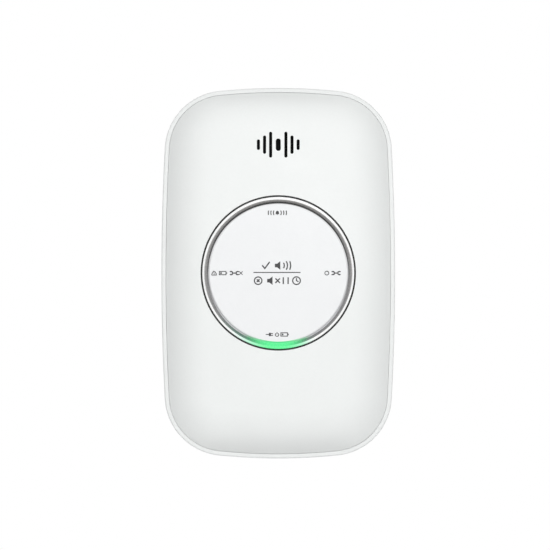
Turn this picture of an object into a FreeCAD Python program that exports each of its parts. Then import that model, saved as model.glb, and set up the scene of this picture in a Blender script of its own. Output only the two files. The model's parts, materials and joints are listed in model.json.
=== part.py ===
"""Battery carbon monoxide detector that hangs on a wall plate.

Row frame: +X right, +Y into the wall, +Z up, millimetres. The origin is the centre of the wall
plate's back face. A depth "w" counts forward from the wall, so y = -w. An "inset" counts inward
from the silhouette.
"""

import FreeCAD, Part

import math
import os

Vector = FreeCAD.Vector
ORIGIN = Vector(0, 0, 0)
FORWARD = Vector(0, -1, 0)
UP = Vector(0, 0, 1)

# ---------------------------------------------------------------- silhouette
HEIGHT = 120.0
WIDTH = 75.7
DEPTH = 34.0
SIDE_RADIUS = 757.0
END_RADIUS = 188.0
CORNER_RADIUS = 19.5

# ---------------------------------------------------------------- front cover
# A crowned shell inside the housing's rim: one arc rises from its edge to the flat middle.
RIM_WIDTH = 1.4
COVER_INSET = 1.48
COVER_WALL = 1.8
CROWN_WIDTH = 13.2
CROWN_SLOPE = 40.0
CROWN_RADIUS = CROWN_WIDTH / math.sin(math.radians(CROWN_SLOPE))
CROWN_CENTRE_W = DEPTH - CROWN_RADIUS
FLAT_INSET = COVER_INSET + CROWN_WIDTH
RIM_W = CROWN_CENTRE_W + CROWN_RADIUS * math.cos(math.radians(CROWN_SLOPE))
COVER_BACK_W = RIM_W - 1.0
COVER_INNER_W = DEPTH - COVER_WALL
SKIRT_INSET = 2.5
SKIRT_WALL = 1.0
SKIRT_DROP = 2.2

# ---------------------------------------------------------------- rear housing
HOUSING_BACK_W = 0.4
HOUSING_WALL_INSET = 2.4
HOUSING_DRAFT = 0.75
BACK_EDGE_RADIUS = 3.6
RIM_EDGE_RADIUS = 0.4
BACK_WALL = 1.8
CORNER_STEP = 1.1
LEDGE_W = COVER_BACK_W - 0.1
VENT_COUNT = 6
VENT_PITCH = 4.0
VENT_WIDTH = 1.5
VENT_LENGTH = 10.0
VENT_W = 14.0

# Screws between housing and cover, driven from the back.
HOUSING_SCREWS = [(x, z) for x in (-26.5, 26.5) for z in (-49.0, 49.0)]
HOUSING_BOSS_RADIUS = 4.2
COVER_BOSS_RADIUS = 3.3
COUNTERBORE_RADIUS = 2.9
SCREW_SEAT_W = 14.0
BOSS_SPLIT_W = 20.0
HOUSING_SCREW_RADIUS = 1.4
HOUSING_SCREW_TIP_W = 28.0

# ---------------------------------------------------------------- wall plate and its recess
PLATE_THICKNESS = 2.2
PLATE_HALF_WIDTH = 29.6
PLATE_TOP = 42.5
PLATE_BOTTOM = -38.5
PLATE_CORNER = 5.0
LIFT_TRAVEL = 5.0
RECESS_W = 2.8
RECESS_GAP = 0.6
RECESS_INNER_W = RECESS_W + BACK_WALL
HOOK_PLACES = [(x, z) for x in (-25.0, 25.0) for z in (28.0, -32.0)]
HOOK_HALF = 3.5
HOOK_WEB = 2.0
HOOK_LEG = 6.5
HOOK_LEG_W = RECESS_INNER_W + 0.3
HOOK_FRONT_W = HOOK_LEG_W + 1.6
WALL_HOLE_RADIUS = 2.25
WALL_HOLE_Z = 30.0
COUNTERSINK_RADIUS = 4.2
WALL_SLOT_X = 19.5
WALL_SLOT_LENGTH = 9.0
WINDOW_HALF_WIDTH = 13.0
WINDOW_ZS = (7.0, 21.0)
POCKET_DEPTH = 0.8
ARROW_DEPTH = 0.6
LABEL_THICKNESS = 0.12

# ---------------------------------------------------------------- button and light ring
BUTTON_RADIUS = 22.65
BUTTON_FRONT_W = DEPTH - 0.1
BUTTON_WALL = 1.7
BUTTON_EDGE = 0.45
RING_INNER = 23.0
RING_LAND_INNER = 23.75
RING_OUTER = 24.65
RING_BEVEL_DROP = 1.3
RING_EDGE = 0.15
RING_FLANGE_W = 29.0
RING_FLANGE = 1.2
RING_LIP_INNER = 22.4
RING_FLANGE_OUTER = 27.2
COVER_HOLE_RADIUS = 25.05
COVER_HOLE_BEVEL = 0.15
COLLAR_WALL = 1.3

# ---------------------------------------------------------------- circuit board
BOARD_W = 23.0
BOARD_THICKNESS = 1.6
BOARD_FRONT_W = BOARD_W + BOARD_THICKNESS
BOARD_INSET = 4.4
BOARD_SCREWS = [(x, z) for x in (-29.5, 29.5) for z in (-24.0, 24.0)]
BOARD_SCREW_RADIUS = 0.95
BOARD_SCREW_TIP_W = 29.0
STANDOFF_RADIUS = 2.6
PIN_HOLE_RADIUS = 0.6

# Four lamps under the light ring, and the baffle round them.
LAMP_ANGLES = {"lamp_fault": 0, "lamp_alarm": 90, "lamp_malfunction": 180, "lamp_power": 270}
LAMP_RADIUS = 25.1
BAFFLE_INNER = 23.2

# Push switch under the button.
SWITCH_HALF = 3.0
SWITCH_BODY_HEIGHT = 3.2
PLUNGER_RADIUS = 1.75
PLUNGER_TIP_W = 29.15

# ---------------------------------------------------------------- sounder
SOUNDER_Z = 41.5
HORN_RADIUS = 13.2
HORN_BACK_W = 24.8
HORN_FRONT_W = 29.3
HORN_PORT_RADIUS = 4.5
SOUND_COLLAR_RADIUS = 11.0
SOUND_COLLAR_W = 29.9
DISC_W = 26.6
DISC_THICKNESS = 0.25
CERAMIC_THICKNESS = 0.25
CERAMIC_RADIUS = 9.0
SLOT_WIDTH = 1.0
MIDDLE_SLOT = (0.0, 1.6, 4.05)
SIDE_SLOTS = ((2.47, 8.4), (4.44, 5.95), (6.43, 3.45))

# ---------------------------------------------------------------- battery bay, drawer and two AA cells
CELL_RADIUS = 7.1
CELL_CAN_LENGTH = 49.0
CELL_NUB_LENGTH = 1.2
CELL_X = 7.7
CELL_W = 13.3
BAY_HALF_WIDTH = 16.9
BAY_WALL = 2.0
BAY_BACK_W = 4.7
BAY_FRONT_W = 21.2
BAY_TOP = -3.5
BAY_GAP = 0.3
DOOR_INNER_Z = -57.9
DOOR_HALF_WIDTH = 17.8
DOOR_WS = (4.0, 21.9)
TRAY_WALL = 1.5
TRAY_FLOOR = 1.2
TRAY_SIDE_W = 16.0
CONTACT_THICKNESS = 0.4
TAB_WS = (18.0, 18.5)
LEAD_RADIUS = 0.6
LEAD_BEND = 0.9
LEAD_PADS = [(-CELL_X, 7.0), (CELL_X, 7.0)]

# ---------------------------------------------------------------- carbon monoxide cell, behind the board
SENSOR_Z = 24.0
SENSOR_RADIUS = 9.9
SENSOR_WALL = 0.5
SENSOR_INLET_RADIUS = 2.5
SENSOR_INLET_W = 8.0
SENSOR_PLUG_W = 18.5
SENSOR_BASE_W = 20.5
SENSOR_PIN_CIRCLE = 6.5


# ---------------------------------------------------------------- shape helpers
def box(x0, x1, w0, w1, z0, z1):
    """A block between two widths, two depths and two heights."""
    return Part.makeBox(x1 - x0, w1 - w0, z1 - z0, Vector(x0, -w1, z0))


def rod(x, z, radius, w0, w1):
    """A cylinder along the depth axis."""
    return Part.makeCylinder(radius, w1 - w0, Vector(x, -w0, z), FORWARD)


def pipe(x, z, outer, inner, w0, w1):
    """A tube along the depth axis."""
    return rod(x, z, outer, w0, w1).cut(rod(x, z, inner, w0, w1))


def upright(x, w, radius, z0, z1):
    """A cylinder along the height axis."""
    return Part.makeCylinder(radius, z1 - z0, Vector(x, -w, z0), UP)


def join(solids):
    """One solid from several that touch or overlap."""
    return solids[0].multiFuse(solids[1:]).removeSplitter()


def group(solids):
    """Several separate solids kept in one node."""
    return Part.makeCompound(solids)


def without(shape, cuts):
    """The shape with a list of solids cut away."""
    return shape.cut(Part.makeCompound(cuts))


def mirrored_x(shape):
    """The shape's mirror image across the YZ plane."""
    return shape.mirror(ORIGIN, Vector(1, 0, 0))


def outline_face(points):
    """A flat face inside a closed polygon."""
    return Part.Face(Part.makePolygon(points + points[:1]))


def pill(x, z, width, height, w0, w1):
    """A round-ended upright slot along the depth axis."""
    half = height / 2 - width / 2
    ends = [rod(x, z + s * half, width / 2, w0, w1) for s in (-1, 1)]
    return join([box(x - width / 2, x + width / 2, w0, w1, z - half, z + half), *ends])


def level_pill(x, z, width, height, w0, w1):
    """A round-ended level slot along the depth axis."""
    slot = pill(0, 0, height, width, w0, w1)
    slot.rotate(ORIGIN, FORWARD, 90)
    slot.translate(Vector(x, 0, z))
    return slot


def side_pill(x0, x1, w, z, length, width):
    """A round-ended slot through a side wall, long in the depth direction."""
    half, radius = length / 2 - width / 2, width / 2
    starts = [Vector(x0, -w + s * half, z) for s in (-1, 1)]
    ends = [Part.makeCylinder(radius, x1 - x0, start, Vector(1, 0, 0)) for start in starts]
    return join([box(x0, x1, w - half, w + half, z - radius, z + radius), *ends])


def rounded_block(x0, x1, z0, z1, corner, w0, w1):
    """A block with its four edges along the depth axis rounded."""
    block = box(x0, x1, w0, w1, z0, z1)
    edges = [e for e in block.Edges if abs(e.tangentAt(e.FirstParameter).y) > 0.99]
    return block.makeFillet(corner, edges)


def turned(points, x=0.0, z=0.0):
    """A solid of revolution about the depth axis through (x, z), from (radius, w) corners."""
    corners = [Vector(x + r, -w, z) for r, w in points]
    return outline_face(corners).revolve(Vector(x, 0, z), FORWARD, 360)


# ---------------------------------------------------------------- the silhouette
def corner_centre():
    """Centre of the top right corner arc, tangent to the side arc and the end arc."""
    side_x, end_z = WIDTH / 2 - SIDE_RADIUS, HEIGHT / 2 - END_RADIUS
    from_side, from_end = SIDE_RADIUS - CORNER_RADIUS, END_RADIUS - CORNER_RADIUS
    apart = math.hypot(side_x, end_z)
    along = (from_side**2 - from_end**2 + apart**2) / (2 * apart)
    off = math.sqrt(from_side**2 - along**2)
    ux, uz = -side_x / apart, end_z / apart
    return side_x + along * ux - off * uz, along * uz + off * ux


def outline_arcs():
    """The silhouette as eight tangent arcs: centre x, centre z, radius, start and end in degrees."""
    cx, cz = corner_centre()
    side_x, end_z = WIDTH / 2 - SIDE_RADIUS, HEIGHT / 2 - END_RADIUS
    low = math.degrees(math.atan2(cz, cx - side_x))
    high = math.degrees(math.atan2(cz - end_z, cx))
    return [
        (side_x, 0, SIDE_RADIUS, -low, low),
        (cx, cz, CORNER_RADIUS, low, high),
        (0, end_z, END_RADIUS, high, 180 - high),
        (-cx, cz, CORNER_RADIUS, 180 - high, 180 - low),
        (-side_x, 0, SIDE_RADIUS, 180 - low, 180 + low),
        (-cx, -cz, CORNER_RADIUS, 180 + low, 180 + high),
        (0, -end_z, END_RADIUS, 180 + high, 360 - high),
        (cx, -cz, CORNER_RADIUS, 360 - high, 360 - low),
    ]


def on_arc(arc, inset, w, degrees):
    """The point of an outline arc moved inward by inset, at depth w."""
    cx, cz, radius = arc[:3]
    angle = math.radians(degrees)
    reach = radius - inset
    return Vector(cx + reach * math.cos(angle), -w, cz + reach * math.sin(angle))


def slab(inset, w0, w1):
    """The outline moved inward by inset, between two depths."""
    edges = []
    for arc in outline_arcs():
        start, end = arc[3:]
        points = [on_arc(arc, inset, w0, a) for a in (start, (start + end) / 2, end)]
        edges.append(Part.Arc(*points).toShape())
    return Part.Face(Part.Wire(edges)).extrude(FORWARD * (w1 - w0))


def around(segments):
    """Sweeps a closed (inset, w) profile round the whole outline. Three points make an arc."""
    bands = []
    for arc in outline_arcs():
        start, end = arc[3:]
        edges = []
        for points in segments:
            placed = [on_arc(arc, inset, w, start) for inset, w in points]
            curve = Part.LineSegment(*placed) if len(placed) == 2 else Part.Arc(*placed)
            edges.append(curve.toShape())
        face = Part.Face(Part.Wire(edges))
        bands.append(face.revolve(Vector(arc[0], 0, arc[1]), FORWARD, end - start))
    return join(bands)


def arc_point(centre, radius, degrees):
    """A point of a profile arc, as (inset, w)."""
    angle = math.radians(degrees)
    return centre[0] + radius * math.cos(angle), centre[1] + radius * math.sin(angle)


# ---------------------------------------------------------------- front cover
def crowned(edge_inset, bottom_w, radius):
    """A crowned solid: an upright edge, then one arc that runs level at the flat middle."""
    centre = (FLAT_INSET, CROWN_CENTRE_W)
    edge_angle = 180 - math.degrees(math.acos((FLAT_INSET - edge_inset) / radius))
    edge = arc_point(centre, radius, edge_angle)
    middle = arc_point(centre, radius, (edge_angle + 90) / 2)
    top = arc_point(centre, radius, 90)
    foot, inner = (edge_inset, bottom_w), (FLAT_INSET, bottom_w)
    band = around([(foot, edge), (edge, middle, top), (top, inner), (inner, foot)])
    return join([band, slab(FLAT_INSET, bottom_w, top[1])])


def sounder_slots():
    """Seven upright slots in the pattern of a sound wave."""
    x, width, height = MIDDLE_SLOT
    slots = [pill(x, SOUNDER_Z, width, height, SOUND_COLLAR_W, DEPTH + 1)]
    for offset, tall in SIDE_SLOTS:
        for side in (-1, 1):
            slots.append(pill(side * offset, SOUNDER_Z, SLOT_WIDTH, tall, SOUND_COLLAR_W, DEPTH + 1))
    return slots


def front_cover():
    """The crowned front shell with its skirt, bosses, standoffs, ring hole and sounder slots."""
    shell = crowned(COVER_INSET, COVER_BACK_W, CROWN_RADIUS)
    hollow = crowned(COVER_INSET + COVER_WALL, COVER_BACK_W - 1, CROWN_RADIUS - COVER_WALL)
    skirt_ws = (COVER_BACK_W - SKIRT_DROP, COVER_BACK_W + 0.15)
    skirt = slab(SKIRT_INSET, *skirt_ws).cut(slab(SKIRT_INSET + SKIRT_WALL, *skirt_ws))
    buried = COVER_WALL / 2
    inside = crowned(COVER_INSET + buried, BOSS_SPLIT_W, CROWN_RADIUS - buried)
    raised = [rod(x, z, COVER_BOSS_RADIUS, BOSS_SPLIT_W + 0.1, DEPTH) for x, z in HOUSING_SCREWS]
    raised += [rod(x, z, STANDOFF_RADIUS, BOARD_FRONT_W, DEPTH) for x, z in BOARD_SCREWS]
    collar_w = RING_FLANGE_W + RING_FLANGE + 0.1
    raised.append(pipe(0, 0, COVER_HOLE_RADIUS + COLLAR_WALL, COVER_HOLE_RADIUS, collar_w, DEPTH))
    raised.append(pipe(0, SOUNDER_Z, SOUND_COLLAR_RADIUS, SOUND_COLLAR_RADIUS - 1.4, SOUND_COLLAR_W, DEPTH))
    shell = join([shell.cut(hollow), skirt, *[piece.common(inside) for piece in raised]])
    bevel_w, mouth_w = DEPTH - COVER_HOLE_BEVEL, DEPTH + 1
    mouth = COVER_HOLE_RADIUS + mouth_w - bevel_w
    cuts = [rod(0, 0, COVER_HOLE_RADIUS, BOSS_SPLIT_W, DEPTH), *sounder_slots()]
    cuts.append(turned([(0, bevel_w), (COVER_HOLE_RADIUS, bevel_w), (mouth, mouth_w), (0, mouth_w)]))
    for x, z in HOUSING_SCREWS:
        cuts.append(rod(x, z, HOUSING_SCREW_RADIUS + 0.05, BOSS_SPLIT_W, HOUSING_SCREW_TIP_W + 1.0))
    for x, z in BOARD_SCREWS:
        cuts.append(rod(x, z, BOARD_SCREW_RADIUS + 0.05, BOSS_SPLIT_W, BOARD_SCREW_TIP_W + 0.6))
    return without(shell, cuts)


# ---------------------------------------------------------------- rear housing
def housing_body():
    """The rear housing's outer form as one full solid, with draft and a round back edge."""
    centre = (HOUSING_DRAFT + BACK_EDGE_RADIUS, HOUSING_BACK_W + BACK_EDGE_RADIUS)
    rim_centre = (RIM_EDGE_RADIUS, RIM_W - RIM_EDGE_RADIUS)
    rim, corner = (rim_centre[0], RIM_W), arc_point(rim_centre, RIM_EDGE_RADIUS, 135)
    shoulder, heel = (0, rim_centre[1]), (HOUSING_DRAFT, centre[1])
    bend, back = arc_point(centre, BACK_EDGE_RADIUS, 225), (centre[0], HOUSING_BACK_W)
    core_inset = 8.0
    inner_back, inner_rim = (core_inset, HOUSING_BACK_W), (core_inset, RIM_W)
    profile = [
        (rim, corner, shoulder),
        (shoulder, heel),
        (heel, bend, back),
        (back, inner_back),
        (inner_back, inner_rim),
        (inner_rim, rim),
    ]
    return join([around(profile), slab(core_inset, HOUSING_BACK_W, RIM_W)])


def rear_housing(body):
    """The tub: side wall with vents, recessed back, hook openings, battery bay and screw bosses."""
    step_w = HOUSING_BACK_W + BACK_WALL
    hollow = join([
        slab(HOUSING_WALL_INSET, step_w + 2.0, RIM_W),
        slab(HOUSING_WALL_INSET + CORNER_STEP, step_w, step_w + 3.0),
    ])
    seat = slab(RIM_WIDTH, LEDGE_W, RIM_W + 1)
    tub = without(body, [hollow, seat])

    half = PLATE_HALF_WIDTH + RECESS_GAP
    bottom, top = PLATE_BOTTOM - LIFT_TRAVEL - RECESS_GAP, PLATE_TOP + RECESS_GAP
    recess = rounded_block(-half, half, bottom, top, PLATE_CORNER, HOUSING_BACK_W - 1, RECESS_W)
    edge = half + BACK_WALL
    low, high = bottom - BACK_WALL, top + BACK_WALL
    raised = rounded_block(-edge, edge, low, high, PLATE_CORNER + BACK_WALL, HOUSING_BACK_W, RECESS_INNER_W)
    bay_edge = BAY_HALF_WIDTH + BAY_WALL
    bay_shell = box(-bay_edge, bay_edge, HOUSING_BACK_W, BAY_FRONT_W + 1.4, -HEIGHT / 2, BAY_TOP + 1.5)
    bosses = [rod(x, z, HOUSING_BOSS_RADIUS, HOUSING_BACK_W, BOSS_SPLIT_W) for x, z in HOUSING_SCREWS]
    tub = join([tub, *[piece.common(body) for piece in (raised, bay_shell, *bosses)]])

    bay = box(-BAY_HALF_WIDTH, BAY_HALF_WIDTH, BAY_BACK_W, BAY_FRONT_W, -HEIGHT, BAY_TOP)
    door_half = DOOR_HALF_WIDTH + BAY_GAP
    door_ws = (DOOR_WS[0] - BAY_GAP, DOOR_WS[1] + BAY_GAP)
    doorway = box(-door_half, door_half, *door_ws, -HEIGHT, DOOR_INNER_Z + 0.1)
    cuts = [recess, bay, doorway, *hook_openings(), *vents(), *terminal_slots()]
    for x, z in HOUSING_SCREWS:
        cuts.append(rod(x, z, COUNTERBORE_RADIUS, HOUSING_BACK_W - 1, SCREW_SEAT_W))
        cuts.append(rod(x, z, HOUSING_SCREW_RADIUS + 0.2, HOUSING_BACK_W, BOSS_SPLIT_W + 1))
    return without(tub, cuts)


def hook_openings():
    """Openings in the recess floor that the wall plate's hooks pass through."""
    half = HOOK_HALF + 0.8
    openings = []
    for x, z in HOOK_PLACES:
        low, high = z - LIFT_TRAVEL - 0.5, z + HOOK_WEB + 0.05
        openings.append(box(x - half, x + half, 1, RECESS_INNER_W + 1, low, high))
    return openings


def vents():
    """A row of gas vents in each side wall, level with the carbon monoxide cell."""
    inner_x, outer_x = WIDTH / 2 - 6, WIDTH / 2 + 2
    slots = []
    for i in range(VENT_COUNT):
        z = SENSOR_Z + (i - (VENT_COUNT - 1) / 2) * VENT_PITCH
        slot = side_pill(inner_x, outer_x, VENT_W, z, VENT_LENGTH, VENT_WIDTH)
        slots += [slot, mirrored_x(slot)]
    return slots


# ---------------------------------------------------------------- wall plate
def hook(x, z):
    """An upward hook that stands on the wall plate."""
    x0, x1 = x - HOOK_HALF, x + HOOK_HALF
    web = box(x0, x1, PLATE_THICKNESS - 1, HOOK_FRONT_W, z, z + HOOK_WEB)
    leg = box(x0, x1, HOOK_LEG_W, HOOK_FRONT_W, z, z + HOOK_LEG)
    return join([web, leg])


def wall_plate():
    """The plate screwed to the wall: hooks, windows, countersunk holes, slots and moulded pockets."""
    half, through = PLATE_HALF_WIDTH, PLATE_THICKNESS + 1
    plate = rounded_block(-half, half, PLATE_BOTTOM, PLATE_TOP, PLATE_CORNER, 0, PLATE_THICKNESS)
    plate = join([plate, *[hook(x, z) for x, z in HOOK_PLACES]])
    low, high = WINDOW_ZS
    wide = WINDOW_HALF_WIDTH
    cuts = [rounded_block(-wide, wide, a, b, 3.0, -1, through) for a, b in ((low, high), (-high, -low))]
    sink = [(0, 1.2), (WALL_HOLE_RADIUS, 1.2), (COUNTERSINK_RADIUS, PLATE_THICKNESS + 0.1)]
    sink.append((0, PLATE_THICKNESS + 0.1))
    for z in (-WALL_HOLE_Z, WALL_HOLE_Z):
        cuts += [rod(0, z, WALL_HOLE_RADIUS, -1, through), turned(sink, 0, z)]
    for x in (-WALL_SLOT_X, WALL_SLOT_X):
        cuts.append(level_pill(x, 0, WALL_SLOT_LENGTH, 2 * WALL_HOLE_RADIUS, -1, through))
    for x, z in HOOK_PLACES:
        x0, x1 = x - HOOK_HALF + 0.6, x + HOOK_HALF - 0.6
        cuts.append(box(x0, x1, -1, PLATE_THICKNESS + 0.5, z + HOOK_WEB, z + HOOK_LEG))
    return without(plate, [*cuts, *plate_pockets(), up_arrow()])


def plate_pockets():
    """Shallow pockets in the plate's back that leave ribs between them."""
    beside_window = rounded_block(17.0, 26.0, 8.0, 22.0, 1.5, -1, POCKET_DEPTH)
    beside_screw = rounded_block(7.0, 15.0, 24.0, 37.0, 1.5, -1, POCKET_DEPTH)
    right = [beside_window, beside_screw]
    right += [pocket.mirror(ORIGIN, UP) for pocket in right]
    return right + [mirrored_x(pocket) for pocket in right]


def up_arrow():
    """A shallow arrow in the plate's back that points to its upper end."""
    tip_z, half, shaft = PLATE_TOP - 1.8, 2.2, 0.7
    neck_z, foot_z = tip_z - 2.6, tip_z - 5.0
    corners = [(0, tip_z), (half, neck_z), (shaft, neck_z), (shaft, foot_z)]
    corners += [(-x, z) for x, z in reversed(corners[1:])]
    return outline_face([Vector(x, 1, z) for x, z in corners]).extrude(FORWARD * (1 + ARROW_DEPTH))


def rating_label():
    """The blank label on the recess floor."""
    return rounded_block(-11.5, 11.5, -15.0, 15.0, 1.5, RECESS_W - LABEL_THICKNESS, RECESS_W)


# ---------------------------------------------------------------- button and light ring
def light_ring():
    """The clear ring: a flat land, an inward bevel, and a flange that the cover's collar holds."""
    back_w, flange_w = RING_FLANGE_W, RING_FLANGE_W + RING_FLANGE
    return turned([
        (RING_LIP_INNER, back_w),
        (RING_FLANGE_OUTER, back_w),
        (RING_FLANGE_OUTER, flange_w),
        (RING_OUTER, flange_w),
        (RING_OUTER, DEPTH - RING_EDGE),
        (RING_OUTER - RING_EDGE, DEPTH),
        (RING_LAND_INNER, DEPTH),
        (RING_INNER, DEPTH - RING_BEVEL_DROP),
        (RING_INNER, flange_w),
        (RING_LIP_INNER, flange_w),
    ])


def button_leg(degrees):
    """A snap leg whose foot catches behind the light ring's inner lip."""
    inner, outer, foot = BUTTON_RADIUS - 1.75, BUTTON_RADIUS - 0.75, RING_LIP_INNER + 0.4
    foot_w, catch_w = RING_FLANGE_W - 1.0, RING_FLANGE_W - 0.1
    top_w = BUTTON_FRONT_W - BUTTON_WALL + 0.2
    corners = [(inner, foot_w), (foot - 0.4, foot_w), (foot, catch_w), (outer, catch_w), (outer, top_w)]
    corners.append((inner, top_w))
    span = 16.0
    leg = outline_face([Vector(r, -w, 0) for r, w in corners]).revolve(ORIGIN, FORWARD, span)
    leg.rotate(ORIGIN, FORWARD, degrees - span / 2)
    return leg


def button_cap():
    """The large round push button: a bevelled disc with a skirt, four snap legs, ribs and a centre post."""
    front_w, back_w = BUTTON_FRONT_W, BUTTON_FRONT_W - BUTTON_WALL
    radius, edge = BUTTON_RADIUS, BUTTON_EDGE
    bevel = [(radius, front_w - edge), (radius - edge, front_w)]
    disc = turned([(0, back_w), (radius, back_w), *bevel, (0, front_w)])
    skirt = pipe(0, 0, radius, radius - 1.2, back_w - 1.3, back_w + 0.2)
    legs = [button_leg(a) for a in (45, 135, 225, 315)]
    post = rod(0, 0, 3.0, PLUNGER_TIP_W + 0.05, back_w + 0.2)
    rib_ws, reach, half = (back_w - 1.0, back_w + 0.2), radius - 1.6, 0.6
    ribs = [box(-reach, reach, *rib_ws, -half, half), box(-half, half, *rib_ws, -reach, reach)]
    return join([disc, skirt, *legs, post, *ribs])


def light_baffle():
    """The opaque ring between board and light ring, with a well for each of the four lamps."""
    ring = pipe(0, 0, RING_FLANGE_OUTER, BAFFLE_INNER, BOARD_FRONT_W + 0.05, RING_FLANGE_W - 0.05)
    wells = []
    for degrees in LAMP_ANGLES.values():
        reach = LAMP_RADIUS
        well = box(reach - 1.5, reach + 1.5, BOARD_FRONT_W, RING_FLANGE_W, -2.1, 2.1)
        well.rotate(ORIGIN, FORWARD, degrees)
        wells.append(well)
    return without(ring, wells)


def lamp(degrees):
    """A surface-mount lamp with a domed lens, under the light ring."""
    reach, seat = LAMP_RADIUS, BOARD_FRONT_W
    base = box(reach - 1.35, reach + 1.35, seat, seat + 1.4, -1.7, 1.7)
    dome = Part.makeSphere(1.6, Vector(reach, -(seat + 0.6), 0))
    dome = dome.common(box(reach - 1.2, reach + 1.2, seat + 0.6, seat + 4, -1.5, 1.5))
    whole = join([base, dome])
    whole.rotate(ORIGIN, FORWARD, degrees)
    return whole


# ---------------------------------------------------------------- switch
def switch_body():
    """The push switch's square base with its plunger bore."""
    half, top_w = SWITCH_HALF, BOARD_FRONT_W + SWITCH_BODY_HEIGHT
    base = box(-half, half, BOARD_FRONT_W, top_w, -half, half)
    return base.cut(rod(0, 0, PLUNGER_RADIUS + 0.1, BOARD_FRONT_W + 1.6, top_w + 1))


def switch_frame():
    """The switch's thin metal top plate with folded side tabs."""
    half, thick = SWITCH_HALF + 0.05, 0.3
    top_w = BOARD_FRONT_W + SWITCH_BODY_HEIGHT
    plate = box(-half, half, top_w, top_w + thick, -half, half)
    tab = box(half, half + thick, BOARD_FRONT_W + 1.0, top_w + thick, -1, 1)
    hole = rod(0, 0, PLUNGER_RADIUS + 0.25, top_w - 1, top_w + 1)
    return join([plate, tab, mirrored_x(tab)]).cut(hole)


def switch_plunger():
    """The round plunger that the button's post presses."""
    return rod(0, 0, PLUNGER_RADIUS, BOARD_FRONT_W + 2.2, PLUNGER_TIP_W)


# ---------------------------------------------------------------- sounder
def grille_mesh():
    """The black cloth bonded behind the sounder slots."""
    return level_pill(0, SOUNDER_Z, 17.6, 9.8, COVER_INNER_W - 0.4, COVER_INNER_W - 0.1)


def horn_gasket():
    """The foam ring between the chamber and the cover's collar."""
    radius = SOUND_COLLAR_RADIUS
    return pipe(0, SOUNDER_Z, radius, radius - 1.8, HORN_FRONT_W, SOUND_COLLAR_W)


def horn_housing():
    """The resonant chamber: a cup with a round port, and a ledge that the disc rests against."""
    outer, bore, chamber = HORN_RADIUS, HORN_RADIUS - 0.9, HORN_RADIUS - 2.0
    ledge_w, roof_w = DISC_W + DISC_THICKNESS, HORN_FRONT_W - 1.0
    return turned([
        (bore, HORN_BACK_W),
        (outer, HORN_BACK_W),
        (outer, HORN_FRONT_W),
        (HORN_PORT_RADIUS, HORN_FRONT_W),
        (HORN_PORT_RADIUS, roof_w),
        (chamber, roof_w),
        (chamber, ledge_w),
        (bore, ledge_w),
    ], 0, SOUNDER_Z)


def horn_pin_places():
    """Two pins press on the ceramic and one on the brass disc's edge."""
    return [(0, SOUNDER_Z + 5), (5, SOUNDER_Z - 4), (-10.4, SOUNDER_Z)]


def horn_pins():
    """Three spring pins that feed the disc from the board."""
    tips = (DISC_W - CERAMIC_THICKNESS, DISC_W - CERAMIC_THICKNESS, DISC_W)
    return group([rod(x, z, 0.45, BOARD_FRONT_W + 0.05, w) for (x, z), w in zip(horn_pin_places(), tips)])


def horn_base():
    """The chamber's back cover, drilled for the spring pins."""
    back_w, front_w = HORN_BACK_W + 0.2, DISC_W - CERAMIC_THICKNESS - 0.4
    plate = rod(0, SOUNDER_Z, HORN_RADIUS - 1.0, back_w, front_w)
    return without(plate, [rod(x, z, PIN_HOLE_RADIUS, back_w - 1, front_w + 1) for x, z in horn_pin_places()])


# ---------------------------------------------------------------- circuit board and its parts
def circuit_board():
    """The circuit board, notched round the housing bosses and drilled for screws and pins."""
    sheet = slab(BOARD_INSET, BOARD_W, BOARD_FRONT_W)
    w0, w1 = BOARD_W - 1, BOARD_FRONT_W + 1
    cuts = [rod(x, z, COVER_BOSS_RADIUS + 1.0, w0, w1) for x, z in HOUSING_SCREWS]
    cuts += [rod(x, z, BOARD_SCREW_RADIUS + 0.25, w0, w1) for x, z in BOARD_SCREWS]
    pins = sensor_pin_places() + LEAD_PADS + header_places()
    cuts += [rod(x, z, PIN_HOLE_RADIUS, w0, w1) for x, z in pins]
    return without(sheet, cuts)


def microcontroller():
    """A square chip with eight leads on each side, on the board's front."""
    cx, cz, half, reach = 0.0, -38.0, 3.5, 1.0
    seat = BOARD_FRONT_W
    body = box(cx - half, cx + half, seat + 0.15, seat + 1.5, cz - half, cz + half)
    leads = []
    for i in range(8):
        offset = (i - 3.5) * 0.8
        for side in (-1, 1):
            a, b = sorted((side * half, side * (half + reach)))
            leads.append(box(cx + a, cx + b, seat, seat + 0.3, cz + offset - 0.18, cz + offset + 0.18))
            leads.append(box(cx + offset - 0.18, cx + offset + 0.18, seat, seat + 0.3, cz + a, cz + b))
    return group([body, *leads])


def amplifier_chip():
    """A small eight-lead chip beside the carbon monoxide cell, on the board's back."""
    cx, cz, seat = 22.0, 14.0, BOARD_W
    body = box(cx - 2, cx + 2, seat - 1.5, seat - 0.15, cz - 2.5, cz + 2.5)
    leads = []
    for i in range(4):
        z = cz + (i - 1.5) * 1.27
        for side in (-1, 1):
            x = cx + side * 2.5
            leads.append(box(x - 0.5, x + 0.5, seat - 0.3, seat, z - 0.2, z + 0.2))
    return group([body, *leads])


def can_capacitor():
    """An upright electrolytic capacitor with a crimped groove."""
    seat, radius, groove, top = BOARD_FRONT_W, 3.15, 2.85, 6.4
    return turned([
        (0, seat),
        (radius - 0.15, seat),
        (radius, seat + 0.2),
        (radius, seat + 0.9),
        (groove, seat + 1.2),
        (radius, seat + 1.5),
        (radius, seat + top - 0.2),
        (radius - 0.25, seat + top),
        (0, seat + top),
    ], 15.0, -40.0)


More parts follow.
